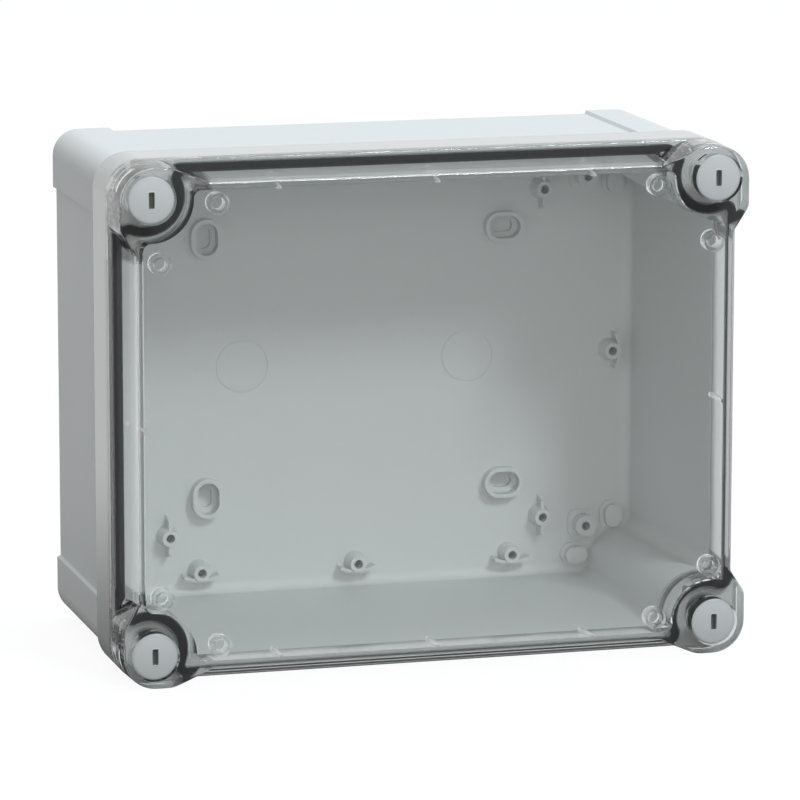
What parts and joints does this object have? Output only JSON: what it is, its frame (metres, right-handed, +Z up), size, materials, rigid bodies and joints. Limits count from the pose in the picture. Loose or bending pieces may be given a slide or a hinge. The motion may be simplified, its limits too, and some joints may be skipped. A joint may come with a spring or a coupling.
{
  "type": "electronics enclosure",
  "caption": "Deep rectangular plastic wall box with a clear lift-off cover, recessed quarter-turn corner locks, a perimeter seal and moulded screw bosses inside.",
  "frame": {"origin": "centre of the box's footprint, on the surface that it stands on", "axes": "+X along the box's width to the right as the cover is faced, +Y from the cover to the back, +Z up"},
  "size_m": [0.241, 0.127, 0.194],
  "materials": {
    "base_abs": "fine satin moulded ABS, light grey",
    "cover_clear": "polished clear polycarbonate",
    "gasket_rubber": "matt black sealing rubber",
    "lock_plastic": "satin light grey moulded plastic",
    "ring_rubber": "smooth black rubber",
    "clip_acetal": "natural acetal, slightly glossy"
  },
  "bodies": {
    "base": {"base_shell": "base_abs"},
    "cover": {"cover_shell": "cover_clear", "cover_gasket": "gasket_rubber"},
    "lock_top_left": {"lock_screw_top_left": "lock_plastic", "lock_ring_top_left": "ring_rubber", "lock_clip_top_left": "clip_acetal"},
    "lock_top_right": {"lock_screw_top_right": "lock_plastic", "lock_ring_top_right": "ring_rubber", "lock_clip_top_right": "clip_acetal"},
    "lock_bottom_left": {"lock_screw_bottom_left": "lock_plastic", "lock_ring_bottom_left": "ring_rubber", "lock_clip_bottom_left": "clip_acetal"},
    "lock_bottom_right": {"lock_screw_bottom_right": "lock_plastic", "lock_ring_bottom_right": "ring_rubber", "lock_clip_bottom_right": "clip_acetal"}
  },
  "joints": [
    {"name": "cover_lift", "type": "slide", "parent": "base", "child": "cover", "axis": [0, -1, 0], "range_m": [0, 0.15]},
    {"name": "lock_top_left_turn", "type": "hinge", "parent": "cover", "child": "lock_top_left", "pos_m": [-0.108, -0.0565, 0.1815], "axis": [0, 1, 0], "range_deg": [0, 90]},
    {"name": "lock_top_right_turn", "type": "hinge", "parent": "cover", "child": "lock_top_right", "pos_m": [0.108, -0.0565, 0.1815], "axis": [0, 1, 0], "range_deg": [0, 90]},
    {"name": "lock_bottom_left_turn", "type": "hinge", "parent": "cover", "child": "lock_bottom_left", "pos_m": [-0.108, -0.0565, 0.0125], "axis": [0, 1, 0], "range_deg": [0, 90]},
    {"name": "lock_bottom_right_turn", "type": "hinge", "parent": "cover", "child": "lock_bottom_right", "pos_m": [0.108, -0.0565, 0.0125], "axis": [0, 1, 0], "range_deg": [0, 90]}
  ]
}
